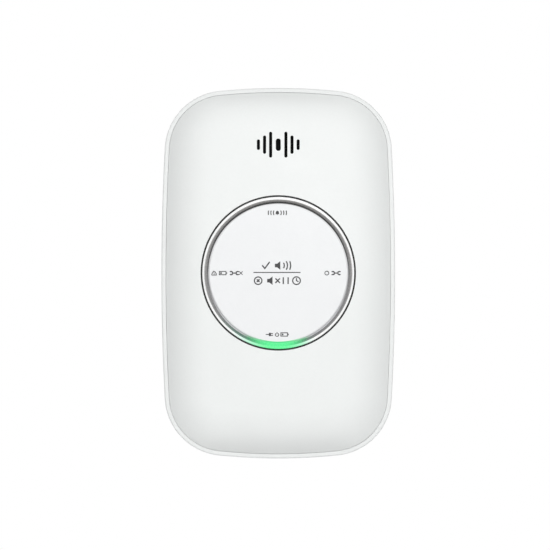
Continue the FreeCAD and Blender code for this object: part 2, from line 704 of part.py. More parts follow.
def horn_inductor():
    """The sounder's step-up coil: two flanges and a wound drum."""
    seat, flange, drum, top = BOARD_FRONT_W, 4.0, 3.3, 5.6
    return turned([
        (0, seat),
        (flange, seat),
        (flange, seat + 1.0),
        (drum, seat + 1.0),
        (drum, seat + top - 1.0),
        (flange, seat + top - 1.0),
        (flange, seat + top),
        (0, seat + top),
    ], -15.0, -40.0)


def chip_row(z, length, width, height):
    """A row of seven chip parts lying on the board's front."""
    ws, zs = (BOARD_FRONT_W, BOARD_FRONT_W + height), (z - width / 2, z + width / 2)
    xs = [3.0 * (i - 3) for i in range(7)]
    return group([box(x - length / 2, x + length / 2, *ws, *zs) for x in xs])


def header_places():
    """The four holes of the service header."""
    return [(4.0 * (i - 1.5), -50.5) for i in range(4)]


def service_header():
    """A four-pin header near the board's lower edge."""
    seat, z = BOARD_FRONT_W, header_places()[0][1]
    strip = box(-8, 8, seat, seat + 1.5, z - 1.3, z + 1.3)
    holes = [rod(x, z, PIN_HOLE_RADIUS, seat - 1, seat + 2) for x, z in header_places()]
    pins = [rod(x, z, 0.35, BOARD_W - 0.3, seat + 3.5) for x, z in header_places()]
    return group([without(strip, holes), *pins])


def pan_screw(x, z, radius, head_height, tip_w, seat_w):
    """A pan-head screw driven forward, with a cross recess in its head."""
    head = radius * 1.9
    body = join([rod(x, z, head, seat_w - head_height, seat_w), rod(x, z, radius, seat_w, tip_w)])
    arm, wide = head * 0.6, head * 0.17
    ws = (seat_w - head_height - 1, seat_w - head_height * 0.35)
    level = box(x - arm, x + arm, *ws, z - wide, z + wide)
    return without(body, [level, box(x - wide, x + wide, *ws, z - arm, z + arm)])


# ---------------------------------------------------------------- carbon monoxide cell
def sensor_pin_places():
    """The cell's three pins, on a circle."""
    angles = [math.radians(a) for a in (30, 150, 270)]
    return [(SENSOR_PIN_CIRCLE * math.cos(a), SENSOR_Z + SENSOR_PIN_CIRCLE * math.sin(a)) for a in angles]


def co_sensor_can():
    """The cell's metal can, open to the air through an inlet facing the back."""
    outer, inlet_w, inner = SENSOR_RADIUS, SENSOR_INLET_W, SENSOR_RADIUS - SENSOR_WALL
    face_w = inlet_w + 1.2
    return turned([
        (SENSOR_INLET_RADIUS, inlet_w),
        (outer - 0.8, inlet_w),
        (outer, inlet_w + 0.8),
        (outer, SENSOR_BASE_W),
        (inner, SENSOR_BASE_W),
        (inner, face_w),
        (SENSOR_INLET_RADIUS, face_w),
    ], 0, SENSOR_Z)


def co_sensor_base():
    """The cell's moulded base, stepped into the can and drilled for its pins."""
    rim = rod(0, SENSOR_Z, SENSOR_RADIUS + 0.5, SENSOR_BASE_W, BOARD_W - 0.8)
    plug = rod(0, SENSOR_Z, SENSOR_RADIUS - SENSOR_WALL - 0.1, SENSOR_PLUG_W, SENSOR_BASE_W + 0.1)
    holes = [rod(x, z, 0.5, SENSOR_PLUG_W - 1, BOARD_W) for x, z in sensor_pin_places()]
    return without(join([rim, plug]), holes)


def co_sensor_filter():
    """The felt filter behind the inlet."""
    face_w = SENSOR_INLET_W + 1.2
    return rod(0, SENSOR_Z, 6.0, face_w, face_w + 2.0)


def co_sensor_pins():
    """Three pins from the cell through the board."""
    return group([rod(x, z, 0.45, SENSOR_PLUG_W, BOARD_FRONT_W + 0.8) for x, z in sensor_pin_places()])


# ---------------------------------------------------------------- battery drawer and contacts
def battery_drawer(body):
    """The drawer: a curved door flush with the housing's lower side, and a tray for two cells."""
    door = box(-DOOR_HALF_WIDTH, DOOR_HALF_WIDTH, *DOOR_WS, -HEIGHT / 2 - 2, DOOR_INNER_Z).common(body)
    half, back_w = BAY_HALF_WIDTH - BAY_GAP, BAY_BACK_W + BAY_GAP
    floor_w = back_w + TRAY_FLOOR
    low, high = DOOR_INNER_Z - 0.5, BAY_TOP - 0.8
    floor = box(-half, half, back_w, floor_w, low, high)
    side = box(half - TRAY_WALL, half, back_w, TRAY_SIDE_W, low, high)
    lip = box(-half, half, back_w, floor_w + 3.0, high - 1.0, high)
    rib = box(-0.35, 0.35, back_w, floor_w + 3.3, low, high)
    drawer = join([door, floor, side, mirrored_x(side), lip, rib])

    grip_radius, grip_w, grip_z, grip_half = 9.0, 13.0, -67.6, 8.0
    grip = Part.makeCylinder(grip_radius, 2 * grip_half, Vector(-grip_half, -grip_w, grip_z), Vector(1, 0, 0))
    windows = [box(s * CELL_X - 3, s * CELL_X + 3, back_w - 1, floor_w - 0.1, -40, -20) for s in (-1, 1)]
    drawer = without(drawer, [grip, *windows])
    ridges = []
    for offset in (-2.2, 0.0, 2.2):
        surface = grip_z + math.sqrt(grip_radius**2 - offset**2)
        w = grip_w + offset
        ridges.append(box(1 - grip_half, grip_half - 1, w - 0.35, w + 0.35, surface - 0.45, surface + 0.2))
    return join([drawer, *ridges])


def cell(x, foot_z, nub_up):
    """One AA cell standing on foot_z: a rimmed can with a raised positive nub at one end."""
    length, nub, edge, nub_radius = CELL_CAN_LENGTH, CELL_NUB_LENGTH, 0.4, 2.75
    corners = [
        (0, 0),
        (CELL_RADIUS - edge, 0),
        (CELL_RADIUS, edge),
        (CELL_RADIUS, length - edge),
        (CELL_RADIUS - edge, length),
        (nub_radius, length),
        (nub_radius, length + nub - 0.3),
        (nub_radius - 0.3, length + nub),
        (0, length + nub),
    ]
    solid = outline_face([Vector(r, 0, z) for r, z in corners]).revolve(ORIGIN, UP, 360)
    if not nub_up:
        solid.rotate(ORIGIN, Vector(1, 0, 0), 180)
        solid.translate(Vector(0, 0, length + nub))
    solid.translate(Vector(x, -CELL_W, foot_z))
    return solid


def coil(x, z0, z1, radius, wire, turns):
    """A helical contact spring standing between two heights."""
    height = z1 - z0 - wire
    helix = Part.makeHelix(height / turns, height, radius)
    ring = Part.Wire(Part.makeCircle(wire / 2, Vector(radius, 0, 0), Vector(0, 1, 0)))
    spring = Part.Wire(helix).makePipeShell([ring], True, True)
    spring.translate(Vector(x, -CELL_W, z0 + wire / 2))
    return spring


def drawer_strap():
    """The link in the drawer's foot that joins the two cells in series."""
    base, half, top = DOOR_INNER_Z, CELL_X + 4.5, DOOR_INNER_Z + CONTACT_THICKNESS
    strap = box(-half, half, CELL_W - 3.5, CELL_W + 3.9, base, top)
    return join([strap, upright(CELL_X, CELL_W, 2.0, base + 0.3, top + 0.1)])


def terminal_slots():
    """Slots in the bay's inner end wall for the two contact tabs."""
    ws = (TAB_WS[0] - 0.2, TAB_WS[1] + 0.3)
    return [box(s * CELL_X - 2.2, s * CELL_X + 2.2, *ws, BAY_TOP - 1, BAY_TOP + 3) for s in (-1, 1)]


def terminal(x):
    """A bent contact: a plate on the bay's end wall and a solder tab through its slot."""
    plate = box(x - 4.5, x + 4.5, CELL_W - 3.7, TAB_WS[1], BAY_TOP - CONTACT_THICKNESS, BAY_TOP)
    tab = box(x - 2, x + 2, *TAB_WS, BAY_TOP - CONTACT_THICKNESS, BAY_TOP + 5.0)
    return join([plate, tab])


def positive_contact():
    """The positive contact, with a raised dimple for the cell's nub."""
    return join([terminal(-CELL_X), upright(-CELL_X, CELL_W, 2.2, BAY_TOP - 1.85, BAY_TOP - 0.2)])


def battery_lead(x, pad_z):
    """An insulated lead from a contact tab up to the board, in straight runs and a tangent arc."""
    lead_w = TAB_WS[1] + 0.7
    first, corner = Vector(x, -lead_w, BAY_TOP + 3.1), Vector(x, -lead_w, pad_z - 0.4)
    last = Vector(x, -(BOARD_W - 0.1), pad_z)
    back, ahead = (first - corner).normalize(), (last - corner).normalize()
    turn = math.pi - back.getAngle(ahead)
    reach = LEAD_BEND * math.tan(turn / 2)
    start, end = corner + back * reach, corner + ahead * reach
    middle = corner + (back + ahead).normalize() * (LEAD_BEND / math.cos(turn / 2) - LEAD_BEND)
    runs = [Part.LineSegment(first, start), Part.Arc(start, middle, end), Part.LineSegment(end, last)]
    section = Part.Wire(Part.makeCircle(LEAD_RADIUS, first, corner - first))
    return Part.Wire([run.toShape() for run in runs]).makePipeShell([section], True, False)


# ---------------------------------------------------------------- the whole assembly
def build():
    """Every node's shape, by name."""
    body = housing_body()
    nodes = {
        "wall_plate": wall_plate(),
        "rear_housing": rear_housing(body),
        "front_cover": front_cover(),
        "rating_label": rating_label(),
        "light_ring": light_ring(),
        "button_cap": button_cap(),
        "light_baffle": light_baffle(),
        "circuit_board": circuit_board(),
        "switch_body": switch_body(),
        "switch_frame": switch_frame(),
        "switch_plunger": switch_plunger(),
        "grille_mesh": grille_mesh(),
        "horn_gasket": horn_gasket(),
        "horn_housing": horn_housing(),
        "horn_base": horn_base(),
        "horn_pins": horn_pins(),
        "piezo_disc": rod(0, SOUNDER_Z, HORN_RADIUS - 1.0, DISC_W, DISC_W + DISC_THICKNESS),
        "piezo_ceramic": rod(0, SOUNDER_Z, CERAMIC_RADIUS, DISC_W - CERAMIC_THICKNESS, DISC_W),
        "co_sensor_can": co_sensor_can(),
        "co_sensor_base": co_sensor_base(),
        "co_sensor_filter": co_sensor_filter(),
        "co_sensor_pins": co_sensor_pins(),
        "microcontroller": microcontroller(),
        "amplifier_chip": amplifier_chip(),
        "can_capacitor": can_capacitor(),
        "horn_inductor": horn_inductor(),
        "chip_resistors": chip_row(-30.5, 1.6, 0.8, 0.5),
        "chip_capacitors": chip_row(-45.5, 2.0, 1.2, 0.9),
        "service_header": service_header(),
        "positive_contact": positive_contact(),
        "negative_contact": terminal(CELL_X),
        "negative_spring": coil(CELL_X, BAY_TOP - 3.65, BAY_TOP - CONTACT_THICKNESS, 3.2, 0.6, 2.5),
        "battery_lead_red": battery_lead(*LEAD_PADS[0]),
        "battery_lead_black": battery_lead(*LEAD_PADS[1]),
        "battery_drawer": battery_drawer(body),
        "drawer_strap": drawer_strap(),
        "drawer_spring": coil(-CELL_X, DOOR_INNER_Z + CONTACT_THICKNESS, DOOR_INNER_Z + 2.3, 3.2, 0.5, 2.0),
        "cell_left": cell(-CELL_X, DOOR_INNER_Z + 2.3, True),
        "cell_right": cell(CELL_X, DOOR_INNER_Z + CONTACT_THICKNESS + 0.1, False),
        "board_screws": group([
            pan_screw(x, z, BOARD_SCREW_RADIUS, 1.4, BOARD_SCREW_TIP_W, BOARD_W) for x, z in BOARD_SCREWS
        ]),
        "housing_screws": group([
            pan_screw(x, z, HOUSING_SCREW_RADIUS, 2.0, HOUSING_SCREW_TIP_W, SCREW_SEAT_W)
            for x, z in HOUSING_SCREWS
        ]),
    }
    nodes.update({name: lamp(degrees) for name, degrees in LAMP_ANGLES.items()})
    return nodes


def main():
    """Builds the assembly, says what each node holds and writes one STEP file per node."""
    os.makedirs("parts", exist_ok=True)
    for name, shape in build().items():
        solids = shape.Solids
        if not shape.isValid() or not solids or min(s.Volume for s in solids) <= 0:
            raise ValueError(f"{name} is not a sound solid")
        shape.exportStep(f"parts/{name}.step")
        print(f"{name}: {len(solids)} solid(s), {sum(s.Volume for s in solids):.1f} mm3")


main()
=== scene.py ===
"""Looks for a battery carbon monoxide detector that hangs on a wall plate.

Metres, in the part's own frame: +X right, +Y into the wall, +Z up, origin on the wall behind the
middle of the detector. MM turns millimetres into metres.
"""

import json
import math

import bmesh
import bpy
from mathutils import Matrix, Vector
from mathutils.bvhtree import BVHTree


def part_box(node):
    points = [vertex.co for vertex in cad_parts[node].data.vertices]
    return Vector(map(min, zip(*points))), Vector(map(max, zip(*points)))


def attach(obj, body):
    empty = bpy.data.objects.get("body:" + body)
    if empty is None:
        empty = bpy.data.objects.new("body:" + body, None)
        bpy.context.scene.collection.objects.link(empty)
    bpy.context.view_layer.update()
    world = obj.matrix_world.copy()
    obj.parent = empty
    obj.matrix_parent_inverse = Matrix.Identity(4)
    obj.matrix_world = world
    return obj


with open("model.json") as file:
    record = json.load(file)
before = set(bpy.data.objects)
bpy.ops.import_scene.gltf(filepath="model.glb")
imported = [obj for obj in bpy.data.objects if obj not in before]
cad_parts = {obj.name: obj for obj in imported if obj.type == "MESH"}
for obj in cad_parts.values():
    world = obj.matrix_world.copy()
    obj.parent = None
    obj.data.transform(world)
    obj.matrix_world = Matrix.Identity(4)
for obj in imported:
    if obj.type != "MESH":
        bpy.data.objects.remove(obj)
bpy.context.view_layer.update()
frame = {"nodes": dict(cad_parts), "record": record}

MM = 0.001
NODES = frame["nodes"]

# ---------------------------------------------------------------- places, read from the frame
button_low, button_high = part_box("button_cap")
ring_low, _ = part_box("light_ring")
FACE_Y = button_low.y
BUTTON_RADIUS = (button_high.x - button_low.x) / 2
RING_FRONT_Y = ring_low.y

# Radii of the light ring and of the cover's hole, from the button's axis outwards. The ring's bright land
# starts a little further out at its sides.
LAND_RADIUS = 23.77 * MM
LAND_SIDE_SHIFT = 0.22 * MM
# Outside this radius the ring is painted black, as shadow in the gap round it.
GAP_SHADOW_RADIUS = 24.55 * MM
HOLE_RADIUS = 25.05 * MM

# How far behind RING_FRONT_Y the ring's front blends into its wall round the button, which carries painted
# shade.
RING_WALL_START = 1.26 * MM
RING_WALL_END = 1.36 * MM

# The cover's roll-over is painted darker, as painted shade, between these heights above and below ROLL_TURN,
# in full as far across as ROLL_FULL_ACROSS and not at all past ROLL_NONE_ACROSS.
ROLL_TURN = 1.5 * MM
ROLL_START = 51.5 * MM
ROLL_END = 59.5 * MM
ROLL_FULL_ACROSS = 17 * MM
ROLL_NONE_ACROSS = 31 * MM

# How the power light fades to the left and to the right of six o'clock: the degrees where each fade starts
# and ends.
RING_LIT = (5, 31), (4, 28)
# BUTTON_LIT places a painted green glow on the button's rim.
BUTTON_LIT = (5, 30), (4, 27)
# The last two spans place painted green light on the ring's land and bevel.
LAND_PAINTED_GLOW = (18, 42), (14, 32)
BEVEL_PAINTED_GLOW = (24, 60), (14, 34)


# ---------------------------------------------------------------- node helpers
class Look:
    """One procedural material: a Principled shader and short calls that add nodes to it."""

    def __init__(self, name, **sockets):
        self.material = bpy.data.materials.new(name)
        self.material.use_nodes = True
        self.tree = self.material.node_tree
        self.shader = self.tree.nodes["Principled BSDF"]
        self.coords = self.add("ShaderNodeTexCoord").outputs["Object"]
        self.set(**sockets)

    def set(self, **sockets):
        """Sets constant sockets by name, with _ for a space."""
        for name, value in sockets.items():
            self.shader.inputs[name.replace("_", " ")].default_value = value

    def add(self, kind, *inputs, **settings):
        """A node, with its first inputs linked or set, and its settings applied."""
        node = self.tree.nodes.new(kind)
        for key, value in settings.items():
            setattr(node, key, value)
        for socket, value in zip(node.inputs, inputs):
            self.feed(socket, value)
        return node

    def feed(self, socket, value):
        """Links an output to a socket, or sets its value."""
        if isinstance(value, bpy.types.NodeSocket):
            self.tree.links.new(value, socket)
        elif value is not None:
            socket.default_value = value

    def drive(self, name, value):
        """Feeds one of the shader's own sockets."""
        self.feed(self.shader.inputs[name], value)

    def math(self, operation, *values, clamp=False):
        """The result of a sum on numbers or outputs."""
        return self.add("ShaderNodeMath", *values, operation=operation, use_clamp=clamp).outputs[0]

    def noise(self, size, detail=2.0, stretch=None):
        """Noise of about that grain size, in metres."""
        coords = self.coords
        if stretch:
            coords = self.add("ShaderNodeVectorMath", coords, stretch, operation="MULTIPLY").outputs[0]
        node = self.add("ShaderNodeTexNoise", coords)
        node.inputs["Scale"].default_value = 1 / size
        node.inputs["Detail"].default_value = detail
        return node.outputs["Fac"]

    def spread(self, value, low, high, out_low=0.0, out_high=1.0, smooth=False):
        """Maps low to high onto out_low to out_high, clamped."""
        kind = "SMOOTHSTEP" if smooth else "LINEAR"
        limits = low, high, out_low, out_high
        return self.add("ShaderNodeMapRange", value, *limits, interpolation_type=kind).outputs[0]

    def blend(self, factor, first, second, mode="MIX"):
        """A colour mix."""
        node = self.add("ShaderNodeMix", data_type="RGBA", blend_type=mode)
        self.feed(node.inputs[0], factor)
        self.feed(node.inputs[6], first)
        self.feed(node.inputs[7], second)
        return node.outputs[2]

    def axes(self):
        """The x, y and z outputs of the object's coordinates."""
        return self.add("ShaderNodeSeparateXYZ", self.coords).outputs

    def radius(self):
        """Distance from the button's axis."""
        x, _, z = self.axes()
        return self.math("SQRT", self.math("ADD", self.math("MULTIPLY", x, x), self.math("MULTIPLY", z, z)))

    def relief(self, height, distance):
        """Bump of that real height in metres, under the shader's normal."""
        previous = self.shader.inputs["Normal"].links
        node = self.add("ShaderNodeBump")
        node.inputs["Strength"].default_value = 1.0
        node.inputs["Distance"].default_value = distance
        self.feed(node.inputs["Height"], height)
        if previous:
            self.feed(node.inputs["Normal"], previous[0].from_socket)
        self.drive("Normal", node.outputs[0])

    def edges(self, size):
        """1 on edges sharper than that radius and 0 on faces."""
        softened = self.add("ShaderNodeBevel", size, samples=4).outputs[0]
        flat = self.add("ShaderNodeNewGeometry").outputs["Normal"]
        match = self.add("ShaderNodeVectorMath", softened, flat, operation="DOT_PRODUCT").outputs["Value"]
        return self.spread(match, 0.995, 0.80)

    def hollow(self, size):
        """1 in grooves narrower than that size and 0 in the open."""
        occlusion = self.add("ShaderNodeAmbientOcclusion", samples=8)
        occlusion.inputs["Distance"].default_value = size
        return self.spread(occlusion.outputs["AO"], 0.75, 0.15)


def plain(red, green, blue):
    """A colour with full alpha."""
    return (red, green, blue, 1.0)


def shade(colour, factor):
    """The colour times a factor."""
    return plain(*(c * factor for c in colour[:3]))


# ---------------------------------------------------------------- colours
WHITE = plain(0.864, 0.883, 0.874)
BUTTON_WHITE = plain(0.870, 0.880, 0.888)
BLACK = plain(0.018, 0.018, 0.020)
STEEL = plain(0.66, 0.65, 0.62)
BRASS = plain(0.78, 0.57, 0.25)
GOLD = plain(0.90, 0.66, 0.30)
ALUMINIUM = plain(0.75, 0.75, 0.76)
COPPER = plain(0.62, 0.25, 0.11)
# Black painted where the gaps round the ring lie in shadow.
GAP_SHADOW_BLACK = plain(0.004, 0.004, 0.004)
GLOW = plain(0.120, 0.850, 0.310)
GLOW_LAND = plain(0.050, 0.840, 0.240)
# Painted green light on the ring's land and bevel, near the power light.
GLOW_TINT = plain(0.55, 1.0, 0.78)
# A painted white glow on the ring's lower wall.
PAINTED_WALL_LIGHT = plain(0.9, 0.9, 0.92)


# ---------------------------------------------------------------- plastics
def moulded(name, colour, rough=0.50, grain=0.16 * MM, wear_and_highlight=0.05, grime_and_shade=0.04, soft=0.2 * MM):
    """Spark-textured moulded plastic: tone drift, grain, rubbed edges with a painted highlight, and dust with
    painted shade in its grooves.

    Grain is the size of its texture, and soft is the radius that its edges are shaded with.
    """
    look = Look(name, IOR=1.49)
    drift = look.spread(look.noise(26 * MM, 3), 0.35, 0.65)
    tone = look.blend(drift, shade(colour, 0.985), colour)
    speck = look.spread(look.noise(0.7 * MM, 2), 0.30, 0.70)
    tone = look.blend(look.math("MULTIPLY", speck, 0.5), tone, shade(colour, 0.97))
    # Lighter edges: partly rubbed wear, partly a painted highlight.
    rubbed_and_highlit = look.edges(0.35 * MM)
    tone = look.blend(look.math("MULTIPLY", rubbed_and_highlit, wear_and_highlight), tone, plain(1, 1, 1))
    # Darker grooves, found by occlusion: partly dust, partly painted shade.
    dust_and_shade = look.hollow(1.2 * MM)
    tone = look.blend(look.math("MULTIPLY", dust_and_shade, grime_and_shade), tone, shade(colour, 0.45))
    look.drive("Base Color", tone)
    patches = look.spread(look.noise(9 * MM, 4), 0.3, 0.7, rough - 0.03, rough + 0.04)
    look.drive("Roughness", look.math("SUBTRACT", patches, look.math("MULTIPLY", rubbed_and_highlit, 0.08)))
    look.drive("Normal", look.add("ShaderNodeBevel", soft, samples=4).outputs[0])
    look.relief(look.noise(grain, 3), 0.006 * MM)
    return look


def repaint(look, share, colour):
    """Lays a second colour over the look's own, where share is 1."""
    tone = look.shader.inputs["Base Color"].links[0].from_socket
    look.drive("Base Color", look.blend(share, tone, colour))


def cover_look():
    """The cover's satin plastic, with painted shade where it rolls over above and below, and painted black
    shadow inside the ring's hole.
    """
    # Its edges get mostly a painted highlight.
    look = moulded("cover_white", WHITE, rough=0.48, wear_and_highlight=0.5, grime_and_shade=0.02, soft=0.1 * MM)
    across, _, up = look.axes()
    height = look.math("ABSOLUTE", look.math("SUBTRACT", up, ROLL_TURN))
    roll_shade = look.spread(height, ROLL_START, ROLL_END, 0.0, 0.55, smooth=True)
    central = look.spread(look.math("ABSOLUTE", across), ROLL_NONE_ACROSS, ROLL_FULL_ACROSS)
    # Painted shade where the cover rolls over at the top and the bottom.
    repaint(look, look.math("MULTIPLY", roll_shade, central), shade(WHITE, 0.80))
    hole_shadow = look.spread(look.radius(), HOLE_RADIUS + 0.08 * MM, HOLE_RADIUS + 0.06 * MM)
    # Painted black shadow on the wall of the ring's hole.
    repaint(look, hole_shadow, GAP_SHADOW_BLACK)
    return look


def ink(name, colour):
    """Pad-printed ink: a dense matt film with a slightly uneven coverage."""
    look = Look(name, IOR=1.45)
    cover = look.spread(look.noise(0.35 * MM, 4), 0.35, 0.75)
    look.drive("Base Color", look.blend(cover, shade(colour, 0.85), shade(colour, 1.2)))
    look.drive("Roughness", look.spread(look.noise(0.8 * MM), 0.3, 0.7, 0.42, 0.58))
    look.relief(look.noise(0.12 * MM), 0.002 * MM)
    return look


# ---------------------------------------------------------------- the ring's light
def lit_span(look, left, right):
    """1 at six o'clock; left and right are the degrees where it starts to fall and where it ends."""
    x, _, z = look.axes()
    turn = look.math("ARCTAN2", x, look.math("MULTIPLY", z, -1.0))
    from_left = look.spread(turn, math.radians(-left[1]), math.radians(-left[0]), smooth=True)
    from_right = look.spread(turn, math.radians(right[1]), math.radians(right[0]), smooth=True)
    return look.math("MINIMUM", from_left, from_right)


def height_share(look):
    """1 at twelve o'clock, 0.5 at three and nine and 0 at six."""
    _, _, z = look.axes()
    return look.spread(look.math("DIVIDE", z, look.radius()), -1, 1)


def bevel_share(look, radius):
    """1 on the ring's bevel and 0 on its land."""
    across = look.math("ABSOLUTE", look.axes()[0])
    sideways = look.math("POWER", look.math("DIVIDE", across, radius), 2.0)
    land_start = look.spread(sideways, 0, 1, LAND_RADIUS, LAND_RADIUS + LAND_SIDE_SHIFT)
    return look.spread(look.math("SUBTRACT", land_start, radius), -0.02 * MM, 0.02 * MM)


def ring_front(look, on_bevel, height):
    """The ring's front in daylight: a bright land, a bevel painted grey as shade and lighter towards the top,
    and painted green light near the lit part.
    """
    land = plain(0.91, 0.915, 0.91)
    # The bevel's grey is painted shade, lighter at the top than at the bottom.
    bevel = look.blend(height, plain(0.24, 0.24, 0.245), plain(0.52, 0.51, 0.50))
    tone = look.blend(on_bevel, land, bevel)
    cloudy = look.spread(look.noise(3 * MM, 4), 0.35, 0.65, 0.0, 0.06)
    tone = look.blend(cloudy, tone, shade(land, 0.75))
    # Painted green light from the power light, on the land and on the bevel.
    bevel_painted_glow = look.math("MULTIPLY", on_bevel, lit_span(look, *BEVEL_PAINTED_GLOW))
    painted_glow = look.math("MAXIMUM", lit_span(look, *LAND_PAINTED_GLOW), bevel_painted_glow)
    return look.blend(painted_glow, tone, GLOW_TINT, mode="MULTIPLY")


def light_ring_look():
    """Clear ring: a bright frosted land, a polished bevel painted grey as shade, painted black shadow
    outside, painted shade and a painted white glow on its wall round the button, lit from below.
    """
    look = Look("ring_clear", IOR=1.58)
    radius, height = look.radius(), height_share(look)
    on_bevel = bevel_share(look, radius)
    wall = look.spread(look.axes()[1], RING_FRONT_Y + RING_WALL_START, RING_FRONT_Y + RING_WALL_END)
    # Painted shade on the wall round the button: black at the top, pale grey at the bottom.
    wall_painted_shade = look.blend(look.spread(height, 0.75, 0.15), GAP_SHADOW_BLACK, plain(0.75, 0.75, 0.76))
    outside = look.spread(radius, GAP_SHADOW_RADIUS, GAP_SHADOW_RADIUS + 0.02 * MM)
    tone = look.blend(wall, ring_front(look, on_bevel, height), wall_painted_shade)
    # Painted black shadow outside the ring, in the gap before the cover.
    tone = look.blend(outside, tone, GAP_SHADOW_BLACK)
    lit = lit_span(look, *RING_LIT)
    look.drive("Base Color", look.blend(look.math("MULTIPLY", lit, 0.97), tone, shade(GLOW, 0.06)))
    glow = look.blend(on_bevel, GLOW_LAND, GLOW)
    green = look.math("MULTIPLY", lit, 8.0, clamp=True)
    look.drive("Emission Color", look.blend(green, PAINTED_WALL_LIGHT, glow))
    # A painted white glow on the lower wall, as light falling there.
    painted_wall_glow = look.math("MULTIPLY", wall, look.spread(height, 0.62, 0.20, 0.0, 0.22))
    share = look.math("MAXIMUM", look.math("MULTIPLY", lit, 0.96), painted_wall_glow)
    look.drive("Emission Strength", look.math("MULTIPLY", share, look.math("SUBTRACT", 1.0, outside)))
    look.drive("Roughness", look.spread(look.noise(0.5 * MM, 3), 0.3, 0.7, 0.22, 0.34))
    look.relief(look.noise(0.2 * MM), 0.003 * MM)
    return look


def button_look():
    """The button's satin plastic: painted shade on a crease and on the seam round its edge, and a painted
    green glow at six o'clock.
    """
    # Its edges get mostly a painted highlight.
    look = moulded("button_white", BUTTON_WHITE, rough=0.48, wear_and_highlight=0.5, soft=0.06 * MM)
    radius, height = look.radius(), height_share(look)
    crease_radius, rim_radius = BUTTON_RADIUS - 0.10 * MM, BUTTON_RADIUS - 0.48 * MM
    off_crease = look.math("ABSOLUTE", look.math("SUBTRACT", radius, crease_radius))
    crease = look.spread(off_crease, 0.10 * MM, 0.04 * MM)
    low_half = look.spread(height, 0.7, 0.4, 0.0, 0.45)
    # Painted shade on a thin crease inside the edge, in its lower part.
    repaint(look, look.math("MULTIPLY", crease, low_half), plain(0.30, 0.30, 0.31))
    # Painted shade on the seam round the edge, reaching furthest in at the top.
    seam = look.spread(height, 0.35, 1.0, BUTTON_RADIUS + 0.12 * MM, BUTTON_RADIUS - 0.28 * MM)
    past_seam = look.math("SUBTRACT", radius, seam)
    repaint(look, look.spread(past_seam, 0.0, 0.16 * MM, 0.0, 0.92), plain(0.02, 0.02, 0.02))
    # A painted green glow on the rim at six o'clock, as light from the ring.
    rim = look.spread(radius, rim_radius, rim_radius + 0.10 * MM)
    lit = look.math("MULTIPLY", lit_span(look, *BUTTON_LIT), rim)
    repaint(look, lit, shade(GLOW, 0.1))
    look.set(Emission_Color=GLOW)
    look.drive("Emission Strength", look.math("MULTIPLY", lit, 0.80))
    return look


# ---------------------------------------------------------------- inner materials
def metal(name, colour, rough=0.28, brushed=(1, 1, 0.06)):
    """Rolled or drawn metal with fine brushing, handling marks and brighter edges."""
    look = Look(name, Metallic=1.0)
    streaks = look.noise(0.12 * MM, 3, stretch=brushed)
    stains = look.spread(look.noise(5 * MM, 4), 0.35, 0.75)
    tone = look.blend(stains, colour, shade(colour, 0.80))
    tone = look.blend(look.math("MULTIPLY", look.edges(0.2 * MM), 0.4), tone, shade(colour, 1.25))
    look.drive("Base Color", tone)
    look.drive("Roughness", look.spread(streaks, 0.3, 0.7, rough - 0.08, rough + 0.12))
    look.relief(streaks, 0.003 * MM)
    return look


def board_look():
    """Green solder mask, raised and paler over the copper tracks, with a fine uneven skin."""
    look = Look("board_green", IOR=1.52)
    cells = look.add("ShaderNodeTexVoronoi", look.coords, feature="DISTANCE_TO_EDGE", distance="CHEBYCHEV")
    cells.inputs["Scale"].default_value = 1 / (5.5 * MM)
    track = look.spread(cells.outputs["Distance"], 0.055, 0.035)
    mask, over_copper = plain(0.010, 0.085, 0.032), plain(0.030, 0.200, 0.070)
    drift = look.spread(look.noise(12 * MM, 3), 0.3, 0.7)
    tone = look.blend(drift, mask, shade(mask, 1.35))
    look.drive("Base Color", look.blend(track, tone, over_copper))
    look.drive("Roughness", look.spread(look.noise(1.5 * MM), 0.3, 0.7, 0.22, 0.34))
    look.relief(track, 0.03 * MM)
    look.relief(look.noise(0.4 * MM, 2), 0.01 * MM)
    return look


def cloth_look():
    """Black cloth of the sounder and the vents: a fine over-and-under weave, on a front or a side face."""
    look = Look("mesh_black", Sheen_Weight=0.03, Sheen_Roughness=0.5, Specular_IOR_Level=0.08)
    x, y, z = look.axes()
    turns = 2 * math.pi / (0.28 * MM)
    across = look.math("SINE", look.math("MULTIPLY", look.math("ADD", x, y), turns))
    along = look.math("SINE", look.math("MULTIPLY", z, turns))
    weave = look.math("MULTIPLY", across, along)
    lift = look.spread(weave, -1, 1)
    look.drive("Base Color", look.blend(lift, plain(0.002, 0.002, 0.002), plain(0.010, 0.010, 0.011)))
    look.drive("Roughness", look.spread(weave, -1, 1, 0.95, 0.8))
    look.relief(lift, 0.04 * MM)
    return look


def rubbery(name, colour, rough=0.62, grain=0.25 * MM):
    """Rubber, foam or wire insulation: a matt skin with pores and scuffs."""
    look = Look(name, IOR=1.5)
    pores = look.spread(look.noise(grain, 3), 0.35, 0.65)
    scuffs = look.spread(look.noise(2.5 * MM, 4, stretch=(1, 1, 0.3)), 0.55, 0.75, 0.0, 0.4)
    tone = look.blend(pores, shade(colour, 0.8), colour)
    look.drive("Base Color", look.blend(scuffs, tone, shade(colour, 1.6)))
    look.drive("Roughness", look.spread(pores, 0, 1, rough + 0.1, rough - 0.05))
    look.relief(pores, 0.015 * MM)
    return look


def grainy(name, colour, second, rough=0.5, size=0.3 * MM):
    """Ceramic, felt or paper: two tones of grain."""
    look = Look(name)
    mottle = look.spread(look.noise(size, 5), 0.35, 0.65)
    look.drive("Base Color", look.blend(mottle, colour, second))
    look.drive("Roughness", look.spread(mottle, 0, 1, rough - 0.06, rough + 0.08))
    look.relief(mottle, 0.01 * MM)
    return look


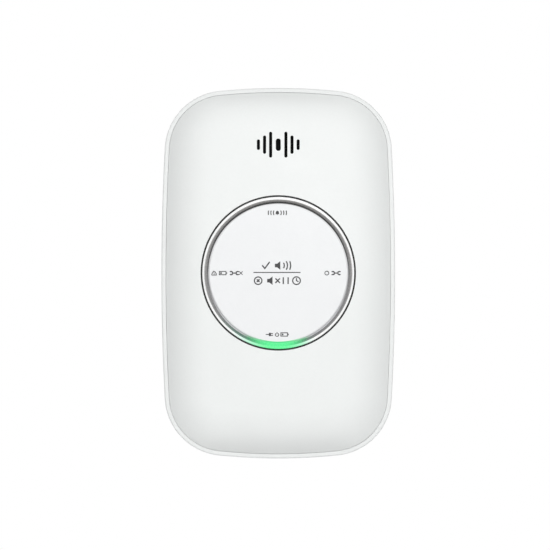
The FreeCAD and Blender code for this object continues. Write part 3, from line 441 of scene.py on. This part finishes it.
def lamp_look(name, colour, glow=0.0):
    """A slightly clouded epoxy lamp lens, which can glow."""
    look = Look(name, IOR=1.54, Transmission_Weight=0.35, Emission_Color=GLOW)
    swirl = look.spread(look.noise(0.8 * MM, 3), 0.3, 0.7)
    look.drive("Base Color", look.blend(swirl, shade(colour, 0.9), colour))
    look.drive("Roughness", look.spread(swirl, 0, 1, 0.10, 0.18))
    look.drive("Emission Strength", look.spread(swirl, 0, 1, glow * 0.9, glow))
    look.relief(look.noise(0.3 * MM), 0.004 * MM)
    return look


def winding_look():
    """Enamelled copper wire wound turn by turn along the coil, which stands along Y."""
    look = Look("copper_winding", Metallic=0.9, Coat_Weight=0.6)
    _, depth, _ = look.axes()
    wave = look.math("SINE", look.math("MULTIPLY", depth, 2 * math.pi / (0.3 * MM)))
    turns = look.spread(wave, -1, 1)
    # The grooves between the turns are painted darker: painted shade.
    look.drive("Base Color", look.blend(turns, shade(COPPER, 0.35), COPPER))
    look.drive("Roughness", look.spread(look.noise(1 * MM), 0.3, 0.7, 0.22, 0.36))
    look.relief(turns, 0.08 * MM)
    return look


def cell_look():
    """A cell's printed jacket: graphite, a copper band at its positive end and bare steel at both ends."""
    look = Look("cell_jacket", Coat_Weight=0.5, Coat_Roughness=0.12)
    across, _, up = look.axes()
    low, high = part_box("cell_left")
    middle, half_length = (low.z + high.z) / 2, (high.z - low.z) / 2
    facing = look.spread(across, -0.1 * MM, 0.1 * MM, 1, -1)
    height = look.math("MULTIPLY", look.math("SUBTRACT", up, middle), facing)
    can, jacket, copper = plain(0.62, 0.61, 0.58), plain(0.035, 0.038, 0.045), plain(0.62, 0.34, 0.12)
    band_start = half_length - 14.0 * MM
    tone = look.blend(look.spread(height, band_start, band_start + 0.2 * MM), jacket, copper)
    streaks = look.noise(0.25 * MM, 3, stretch=(1, 1, 0.05))
    tone = look.blend(look.spread(streaks, 0.4, 0.7, 0.0, 0.25), tone, shade(jacket, 2.2))
    shoulder, foot = half_length - 2.2 * MM, 0.8 * MM - half_length
    upper_end = look.spread(height, shoulder, shoulder + 0.1 * MM)
    lower_end = look.spread(height, foot, foot - 0.1 * MM)
    ends = look.math("MAXIMUM", upper_end, lower_end)
    look.drive("Base Color", look.blend(ends, tone, can))
    look.drive("Metallic", look.spread(ends, 0, 1, 0.35, 1.0))
    look.drive("Roughness", look.spread(look.noise(2 * MM, 3), 0.3, 0.7, 0.25, 0.38))
    look.relief(streaks, 0.002 * MM)
    return look


def label_look():
    """The label's silvered paper."""
    return grainy("label_silver", plain(0.58, 0.59, 0.60), plain(0.64, 0.65, 0.66), rough=0.35, size=1 * MM)


LOOKS = {
    "housing_white": moulded("housing_white", shade(WHITE, 0.945), rough=0.48, grain=0.22 * MM),
    "cover_white": cover_look(),
    "button_white": button_look(),
    "plate_white": moulded("plate_white", shade(WHITE, 0.96), rough=0.52, grain=0.3 * MM),
    "drawer_white": moulded("drawer_white", shade(WHITE, 0.945), rough=0.48, grain=0.22 * MM),
    "ring_clear": light_ring_look(),
    "baffle_black": moulded("baffle_black", BLACK, rough=0.6, wear_and_highlight=0.03, grime_and_shade=0.0),
    "board_green": board_look(),
    "moulding_black": moulded("moulding_black", BLACK, rough=0.5, wear_and_highlight=0.06, grime_and_shade=0.0),
    "lamp_clear": lamp_look("lamp_clear", plain(0.80, 0.80, 0.72)),
    "lamp_lit": lamp_look("lamp_lit", plain(0.30, 0.90, 0.50), glow=2.0),
    "steel": metal("steel", STEEL),
    "mesh_black": cloth_look(),
    "foam_grey": rubbery("foam_grey", plain(0.045, 0.045, 0.048), rough=0.9),
    "disc_brass": metal("disc_brass", BRASS, rough=0.22, brushed=(0.05, 1, 1)),
    "ceramic_grey": grainy("ceramic_grey", plain(0.60, 0.59, 0.56), plain(0.70, 0.69, 0.66)),
    "filter_white": grainy("filter_white", plain(0.78, 0.78, 0.75), plain(0.62, 0.62, 0.58), rough=0.9),
    "pin_gold": metal("pin_gold", GOLD, rough=0.2),
    "can_aluminium": metal("can_aluminium", ALUMINIUM, rough=0.3, brushed=(1, 0.06, 1)),
    "copper_winding": winding_look(),
    "resistor_black": grainy("resistor_black", plain(0.03, 0.03, 0.033), plain(0.05, 0.05, 0.05), rough=0.3),
    "capacitor_tan": grainy("capacitor_tan", plain(0.36, 0.24, 0.13), plain(0.45, 0.31, 0.18), rough=0.4),
    "wire_red": rubbery("wire_red", plain(0.45, 0.02, 0.015), rough=0.4),
    "wire_black": rubbery("wire_black", plain(0.015, 0.015, 0.016), rough=0.4),
    "cell_jacket": cell_look(),
    "label_silver": label_look(),
}
INK = ink("ink_grey", plain(0.045, 0.045, 0.048))
PALE_INK = ink("ink_pale", plain(0.70, 0.70, 0.68))


def dress_nodes():
    """Gives every CAD node the look of its record slot."""
    for part in frame["record"]["subparts"]:
        piece = NODES[part["node"]]
        piece.data.materials.clear()
        piece.data.materials.append(LOOKS[part["material_slot"]].material)


# ---------------------------------------------------------------- printed symbols
# A symbol is a list of flat outlines, each a list of (across, up) points in millimetres.
# Print stands PRINT_HEIGHT proud of its surface and reaches PRINT_ROOT into it.
PRINT_HEIGHT = 0.03 * MM
PRINT_ROOT = 0.01 * MM

# The places across, in millimetres, where a cell's print gets an edge and bends.
CELL_BENDS = [0.4 * i for i in range(-10, 11)]

# The door's marks are round this depth, and are raised by this many print heights.
DOOR_MIDDLE_Y = -13.0 * MM
DOOR_MARK_LIFT = 6.0

# The vent screens, in millimetres round the middle of a vent row. They are SCREEN_STRETCH times as thick as
# print. The probe is a place inside the housing from which a side wall is in plain view.
VENT_MIDDLE_Z, VENT_MIDDLE_Y = 24.0, -14.15
SCREEN_LENGTH, SCREEN_WIDTH, SCREEN_CORNER = 23.2, 11.5, 1.5
SCREEN_GAP = 0.10 * MM
SCREEN_STRETCH = 3.0
PROBE_X, PROBE_Y = 30.0 * MM, -23.0 * MM


def bar(across, up, width, height):
    """A level or upright rectangle round its middle."""
    w, h = width / 2, height / 2
    return [(across - w, up - h), (across + w, up - h), (across + w, up + h), (across - w, up + h)]


def sweep(across, up, radius, start, end, steps=12):
    """Points along an arc, in degrees anticlockwise from the right."""
    angles = [math.radians(start + (end - start) * i / steps) for i in range(steps + 1)]
    return [(across + radius * math.cos(a), up + radius * math.sin(a)) for a in angles]


def dot(across, up, radius):
    """A filled disc."""
    return sweep(across, up, radius, 0, 345, 23)


def band(across, up, inner, outer, start, end):
    """A stretch of a ring."""
    return sweep(across, up, outer, start, end) + sweep(across, up, inner, end, start)


def strip(points, width):
    """A line of that width through its points, mitred at the corners."""
    sides = [[], []]
    for i, (x, z) in enumerate(points):
        before = Vector(points[i]) - Vector(points[i - 1]) if i else None
        after = Vector(points[i + 1]) - Vector(points[i]) if i < len(points) - 1 else None
        along = sum((v.normalized() for v in (before, after) if v), Vector((0, 0))).normalized()
        turn = along.dot((before or after).normalized())
        off = Vector((-along.y, along.x)) * (width / 2 / turn)
        sides[0].append((x + off.x, z + off.y))
        sides[1].append((x - off.x, z - off.y))
    return sides[0] + sides[1][::-1]


def moved(outlines, across, up, size=1.0):
    """Outlines scaled, then shifted."""
    return [[(x * size + across, z * size + up) for x, z in outline] for outline in outlines]


def waves(side, radii, width=0.14):
    """Sound waves of about equal height to the right (side 1) or the left (side -1)."""
    half_height, steepest = 0.47, 0.6
    middle = 0 if side > 0 else 180
    arcs = []
    for radius in radii:
        lean = math.degrees(math.asin(min(half_height / radius, steepest)))
        arcs.append(band(0, 0, radius - width / 2, radius + width / 2, middle - lean, middle + lean))
    return arcs


def bell():
    """A bell with its clapper, one unit tall."""
    dome = sweep(0, 0.08, 0.34, 0, 180)
    body = [(0.46, -0.30), (0.34, -0.16), *dome, (-0.34, -0.16), (-0.46, -0.30)]
    return [body, sweep(0, -0.36, 0.13, 180, 360, 8)]


def speaker():
    """A loudspeaker's side view, one unit tall."""
    return [[(-0.55, -0.2), (-0.3, -0.2), (0.05, -0.48), (0.05, 0.48), (-0.3, 0.2), (-0.55, 0.2)]]


def four_arms(reach, half_width, tilt):
    """Four equal arms in one outline, turned by tilt degrees."""
    outline = []
    for quarter in range(4):
        turn = math.radians(tilt + 90 * quarter)
        side, rise = math.cos(turn), math.sin(turn)
        arm = (reach, -half_width), (reach, half_width), (half_width, half_width)
        outline += [(x * side - z * rise, x * rise + z * side) for x, z in arm]
    return [outline]


def cross(arm):
    """A diagonal cross."""
    return four_arms(arm, 0.07, 45)


def plus(across, up, size):
    """A plus sign."""
    return moved(four_arms(size / 2, 0.125 * size, 0), across, up)


def ring(radius, width=0.13):
    """A whole ring in two halves."""
    return [band(0, 0, radius - width / 2, radius + width / 2, a, a + 180) for a in (0, 180)]


def clock():
    """A clock face with two hands, one unit tall."""
    return [*ring(0.43), strip([(0, 0.30), (0, 0), (0.22, -0.13)], 0.12)]


def tick():
    """A tick mark, about one unit tall."""
    return [strip([(-0.42, 0.02), (-0.12, -0.32), (0.42, 0.40)], 0.15)]


def warning():
    """A triangle round an exclamation mark, one unit tall."""
    sides = [strip([(-0.56, -0.42), (0.56, -0.42)], 0.18)]
    sides += [strip([(s * 0.56, -0.31), (s * 0.07, 0.46)], 0.18) for s in (-1, 1)]
    return [*sides, bar(0, 0.0, 0.14, 0.28), dot(0, -0.22, 0.08)]


def spanner(length):
    """A double-ended spanner lying level."""
    reach = length / 2 - 0.5
    jaws = [band(s * reach, 0, 0.20, 0.48, 45 + turn, 315 + turn) for s, turn in ((1, 0), (-1, 180))]
    return [*jaws, bar(0, 0, 2 * reach - 1.0, 0.26)]


def battery():
    """A battery with little charge, lying level."""
    case = [bar(0, s * 0.36, 1.6, 0.18) for s in (-1, 1)] + [bar(s * 0.71, 0, 0.18, 0.54) for s in (-1, 1)]
    return [*case, bar(0.90, 0, 0.16, 0.34), bar(-0.34, 0, 0.36, 0.36)]


def power():
    """A power sign, one unit tall."""
    return [band(0, -0.05, 0.27, 0.46, 125, 415), bar(0, 0.27, 0.18, 0.46)]


def plug():
    """A mains plug's side view, lying level, pins to the right."""
    body = [(-0.3, -0.36), (0.15, -0.36), (0.15, 0.36), (-0.3, 0.36)]
    return [body, bar(-0.65, 0, 0.66, 0.18), *[bar(0.38, s * 0.2, 0.42, 0.18) for s in (-1, 1)]]


def button_symbols():
    """Every outline printed on the button's face, from the top down."""
    small, large = 1.5, 2.9
    near, far = (0.85, 1.4, 1.95), (0.5, 0.85, 1.2)
    top, upper, middle, lower, foot = 19.45, 2.4, -0.05, -2.5, -19.9
    outlines = moved(bell() + waves(1, near, 0.22) + waves(-1, near, 0.22), -0.3, top, small)
    outlines += moved(tick(), -4.0, upper, large) + moved(speaker() + waves(1, far), 0.5, upper, large)
    outlines.append(bar(-0.4, 0.15, 15.2, 0.3))
    outlines += moved(warning(), -20.75, middle, small) + moved(battery(), -18.0, middle, small)
    outlines += moved(spanner(2.4), -14.2, middle, small) + moved(cross(0.45), -12.1, middle, 1.7)
    outlines += moved(ring(0.42, 0.18), 15.7, middle, small) + moved(spanner(2.4), 18.7, middle, small)
    outlines += moved(ring(0.42) + cross(0.22), -6.5, lower, large)
    outlines += moved(speaker(), -2.0, lower, large) + moved(cross(0.36), -0.2, lower, large)
    outlines += moved([bar(0.3 * s, 0, 0.16, 0.84) for s in (-1, 1)], 2.4, lower, large * 0.9)
    outlines += moved(clock(), 5.9, lower, large)
    outlines += moved(plug(), -2.6, foot, small) + moved(power(), -0.4, foot, small)
    outlines += moved(battery(), 1.9, foot, small)
    return outlines


def printed(name, outlines, place, body, look, cuts=()):
    """Adds a thin closed film in the shape of the outlines, on a body and with a look.

    The place function maps (across, up, height) into the frame. Cuts are the places across, in millimetres,
    where the film gets an edge so that it can bend.
    """
    shape = bmesh.new()
    for outline in outlines:
        rings = []
        for height in (-PRINT_ROOT, PRINT_HEIGHT):
            rings.append([shape.verts.new((x * MM, height, z * MM)) for x, z in outline])
        shape.faces.new(rings[0][::-1])
        shape.faces.new(rings[1])
        for i in range(len(outline)):
            shape.faces.new([rings[0][i - 1], rings[0][i], rings[1][i], rings[1][i - 1]])
    for across in cuts:
        everything = [*shape.verts, *shape.edges, *shape.faces]
        bmesh.ops.bisect_plane(shape, geom=everything, plane_co=(across * MM, 0, 0), plane_no=(1, 0, 0))
    for vertex in shape.verts:
        vertex.co = place(vertex.co.x, vertex.co.z, vertex.co.y)
    bmesh.ops.recalc_face_normals(shape, faces=shape.faces)
    mesh = bpy.data.meshes.new(name)
    shape.to_mesh(mesh)
    shape.free()
    mesh.materials.append(look.material)
    piece = bpy.data.objects.new(name, mesh)
    bpy.context.scene.collection.objects.link(piece)
    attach(piece, body)


def print_button():
    """Symbols on the button's face, seen from the front."""

    def on_face(x, z, h):
        return Vector((x, FACE_Y - h, z))

    printed("button_symbols", button_symbols(), on_face, "button", INK)


def label_cell(facing):
    """A cell with its nub and its signs, positive end to the right (1) or to the left (-1)."""
    case = [bar(0, s * 1.2, 7.2, 0.25) for s in (-1, 1)] + [bar(s * 3.5, 0, 0.25, 2.2) for s in (-1, 1)]
    nub, minus = bar(facing * 3.85, 0, 0.45, 0.9), bar(-facing * 2.3, 0, 1.0, 0.25)
    return [*case, nub, *plus(facing * 2.3, 0, 1.0), minus]


def label_symbols():
    """The back label's generic print: a border, two cells, rules, signs and a blank table."""
    outlines = [bar(0, s * 14.3, 22.0, 0.22) for s in (-1, 1)]
    outlines += [bar(s * 10.9, 0, 0.22, 28.4) for s in (-1, 1)]
    outlines += moved(label_cell(1), -5.4, 12.0) + moved(label_cell(-1), 5.4, 12.0)
    outlines += [bar(-3.0, 9.4 - 0.9 * i, 13.5 - 2.2 * (i % 3), 0.28) for i in range(12)]
    outlines += moved(warning(), 7.2, 7.6, 3.2) + moved(spanner(2.4), 7.2, 3.6, 2.2)
    outlines += [bar(0, -2.6 - 1.9 * i, 20.0, 0.18) for i in range(6)]
    outlines += [bar(-10.0 + 4.0 * i, -7.35, 0.18, 9.1) for i in range(6)]
    outlines += moved(tick(), -8.0, -3.5, 1.1) + moved(ring(0.42) + cross(0.22), -4.0, -3.5, 1.2)
    return outlines


def print_label():
    """The label's print, seen from behind."""
    _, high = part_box("rating_label")

    def on_label(x, z, h):
        return Vector((-x, high.y + h, z))

    printed("label_symbols", label_symbols(), on_label, "unit", INK)


def mark_cells():
    """A plus sign, a minus sign, rules and a battery on each cell's front, bent round its can."""
    for node, nub_up in (("cell_left", 1), ("cell_right", -1)):
        low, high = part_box(node)
        middle, radius = (low + high) / 2, (high.x - low.x) / 2
        sign_up = nub_up * ((high.z - low.z) / 2 / MM - 8.0)

        def on_can(x, z, h, middle=middle, radius=radius):
            out, turn = radius + h, x / radius
            return middle + Vector((out * math.sin(turn), -out * math.cos(turn), z))

        outlines = plus(0, sign_up, 4.0) + [bar(0.0, -sign_up, 4.0, 1.0)]
        outlines += [bar(0, nub_up * (5.0 - 1.6 * i), 8.0 - 1.5 * i, 0.5) for i in range(4)]
        outlines += moved(battery(), 0, -nub_up * 4.0, 3.4)
        printed(f"{node}_marks", outlines, on_can, "drawer", PALE_INK, CELL_BENDS)


def skin_of(node):
    """A CAD node's surface, for casting rays at it."""
    mesh = NODES[node].data
    return BVHTree.FromPolygons([v.co for v in mesh.vertices], [p.vertices for p in mesh.polygons])


def rounded(across, up, width, height, corner):
    """A rectangle round its middle, with rounded corners."""
    outline = []
    for quarter, (side, level) in enumerate(((1, 1), (-1, 1), (-1, -1), (1, -1))):
        middle = across + side * (width / 2 - corner), up + level * (height / 2 - corner)
        outline += sweep(*middle, corner, 90 * quarter, 90 * quarter + 90, 4)
    return outline


def screen_vents():
    """Black insect screens against the side walls' inner faces, behind the vents."""
    skin = skin_of("rear_housing")
    sheet = rounded(VENT_MIDDLE_Z, VENT_MIDDLE_Y, SCREEN_LENGTH, SCREEN_WIDTH, SCREEN_CORNER)
    bends = [VENT_MIDDLE_Z + 2.0 * i for i in range(-5, 6)]
    for name, side in (("vent_screen_left", -1), ("vent_screen_right", 1)):

        def on_wall(z, y, h, side=side):
            wall = skin.ray_cast(Vector((side * PROBE_X, PROBE_Y, z)), Vector((side, 0, 0)))[0]
            return Vector((wall.x - side * (SCREEN_GAP + h * SCREEN_STRETCH), y, z))

        printed(name, [sheet], on_wall, "unit", LOOKS["mesh_black"], bends)


def mark_door():
    """A raised arrow and battery beside the drawer's finger grip, on the door's curved outer face."""
    skin = skin_of("battery_drawer")
    low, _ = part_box("battery_drawer")
    below, upward = low.z - 10 * MM, Vector((0, 0, 1))

    def on_door(x, z, h):
        surface = skin.ray_cast(Vector((x, DOOR_MIDDLE_Y - z, below)), upward)[0]
        return surface - h * DOOR_MARK_LIFT * upward

    head, shaft = [(-1.3, -1.5), (1.3, -1.5), (0, -3.2)], bar(0, 0.2, 0.8, 3.2)
    outlines = moved([head, shaft], -13.0, 0.6, 1.1) + moved(battery(), 13.0, 0.0, 2.6)
    bends = [side * (10.5 + 0.5 * i) for side in (-1, 1) for i in range(12)]
    printed("drawer_marks", outlines, on_door, "drawer", LOOKS["drawer_white"], bends)


# ---------------------------------------------------------------- stage
FLOOR_RADIUS = 0.6
FLOOR_PLACE = (0, 0.12, -0.23)

# How bright the white surround is to the camera, and as a light.
SURROUND_SEEN = 1.0
SURROUND_LIGHT = 0.155

# The camera: its distance, its angle above the horizon, the height that it frames and the place it aims at.
SENSOR_WIDTH = 36.0
VIEW_DISTANCE = 3.0
VIEW_RISE = math.radians(-0.85)
VIEW_HEIGHT = 178.15 * MM
VIEW_AIM = Vector((-1.06, -29.2, -0.60)) * MM


def lay_floor():
    """A pale round floor well below the detector, clear when seen from underneath."""
    bpy.ops.mesh.primitive_circle_add(
        vertices=96, radius=FLOOR_RADIUS, fill_type="NGON", location=FLOOR_PLACE
    )
    floor = bpy.context.object
    floor.name = "floor"
    look = Look("floor_pale", Roughness=0.6)
    look.drive("Base Color", look.blend(look.noise(0.2), plain(0.90, 0.90, 0.90), plain(0.94, 0.94, 0.94)))
    under = look.add("ShaderNodeNewGeometry").outputs["Backfacing"]
    clear = look.add("ShaderNodeBsdfTransparent").outputs[0]
    mixed = look.add("ShaderNodeMixShader", under, look.shader.outputs[0], clear)
    look.feed(look.tree.nodes["Material Output"].inputs[0], mixed.outputs[0])
    floor.data.materials.append(look.material)


def soft_light(name, place, size, power, target=(0, -0.02, 0)):
    """A square area light, size metres wide and power watts strong, aimed at a point."""
    lamp = bpy.data.lights.new(name, "AREA")
    lamp.size = size
    lamp.energy = power
    piece = bpy.data.objects.new(name, lamp)
    piece.location = place
    piece.rotation_mode = "QUATERNION"
    piece.rotation_quaternion = (Vector(target) - Vector(place)).to_track_quat("-Z", "Y")
    piece.visible_camera = False
    bpy.context.scene.collection.objects.link(piece)


def light_studio():
    """A broad light in front, weak lights above and below, two lights behind and a white surround.

    The glint is a small lamp near the cover, above the button and to its right.
    """
    soft_light("key", (0.08, -1.8, 0.55), size=2.2, power=33.0)
    soft_light("top", (0.0, -0.4, 1.6), size=1.6, power=2.3)
    soft_light("glint", (0.013, -0.17, 0.044), size=0.04, power=0.021, target=(0.012, -0.034, 0.040))
    soft_light("back_left", (-1.2, 1.3, 0.8), size=1.2, power=15.0)
    soft_light("back_right", (1.3, 1.2, 0.5), size=1.2, power=12.0)
    soft_light("below", (0.0, 0.7, -0.8), size=0.9, power=2.4)
    world = bpy.data.worlds.new("studio")
    bpy.context.scene.world = world
    world.use_nodes = True
    tree = world.node_tree
    surround = tree.nodes["Background"]
    surround.inputs["Color"].default_value = plain(1, 1, 1)
    seen = tree.nodes.new("ShaderNodeLightPath").outputs["Is Camera Ray"]
    strength = tree.nodes.new("ShaderNodeMapRange")
    strength.inputs["To Min"].default_value = SURROUND_LIGHT
    strength.inputs["To Max"].default_value = SURROUND_SEEN
    tree.links.new(seen, strength.inputs["Value"])
    tree.links.new(strength.outputs[0], surround.inputs["Strength"])


def place_camera():
    """A long lens, almost straight in front and a little below."""
    data = bpy.data.cameras.new("camera")
    data.sensor_width = SENSOR_WIDTH
    data.lens = SENSOR_WIDTH * VIEW_DISTANCE / VIEW_HEIGHT
    data.clip_start, data.clip_end = 0.1, 20.0
    camera = bpy.data.objects.new("camera", data)
    camera.location = VIEW_AIM + VIEW_DISTANCE * Vector((0, -math.cos(VIEW_RISE), math.sin(VIEW_RISE)))
    camera.rotation_euler = (math.radians(90) - VIEW_RISE, 0, 0)
    bpy.context.scene.collection.objects.link(camera)
    bpy.context.scene.camera = camera
    bpy.context.scene.view_settings.view_transform = "Standard"


place_camera()
dress_nodes()
print_button()
print_label()
mark_cells()
mark_door()
screen_vents()
lay_floor()
light_studio()
